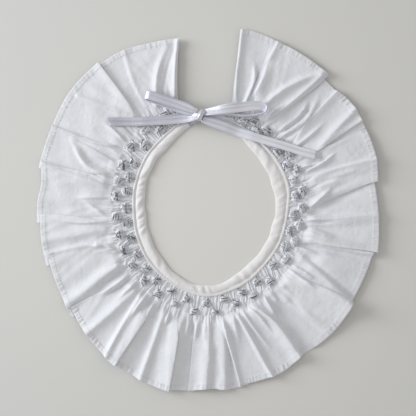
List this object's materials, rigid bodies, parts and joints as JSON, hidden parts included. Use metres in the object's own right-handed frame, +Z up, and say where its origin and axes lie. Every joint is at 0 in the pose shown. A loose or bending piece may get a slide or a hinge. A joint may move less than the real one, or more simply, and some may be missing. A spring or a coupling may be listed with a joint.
{
  "type": "smocked frill collar with ribbon tie",
  "caption": "White cotton frill collar laid flat, with a bound neck, a hand-smocked gathered band in grey thread and a narrow satin ribbon tied in a bow.",
  "frame": {"origin": "centre of the collar's outline on the surface it lies on", "axes": "+X to the right seen from above, +Y from the back of the neck towards the tied opening, +Z up from the surface"},
  "size_m": [0.2555, 0.2706, 0.0136],
  "materials": {
    "cotton": "matt white cotton lawn",
    "satin": "pale grey satin ribbon"
  },
  "bodies": {
    "root": {"frill": "cotton", "smocked_band": "cotton", "neck_binding": "cotton", "ribbon_tie_left": "satin", "ribbon_tie_right": "satin", "bow_knot": "satin", "bow_loop_left": "satin", "bow_loop_right": "satin", "bow_tail_left": "satin", "bow_tail_right": "satin"}
  },
  "joints": []
}
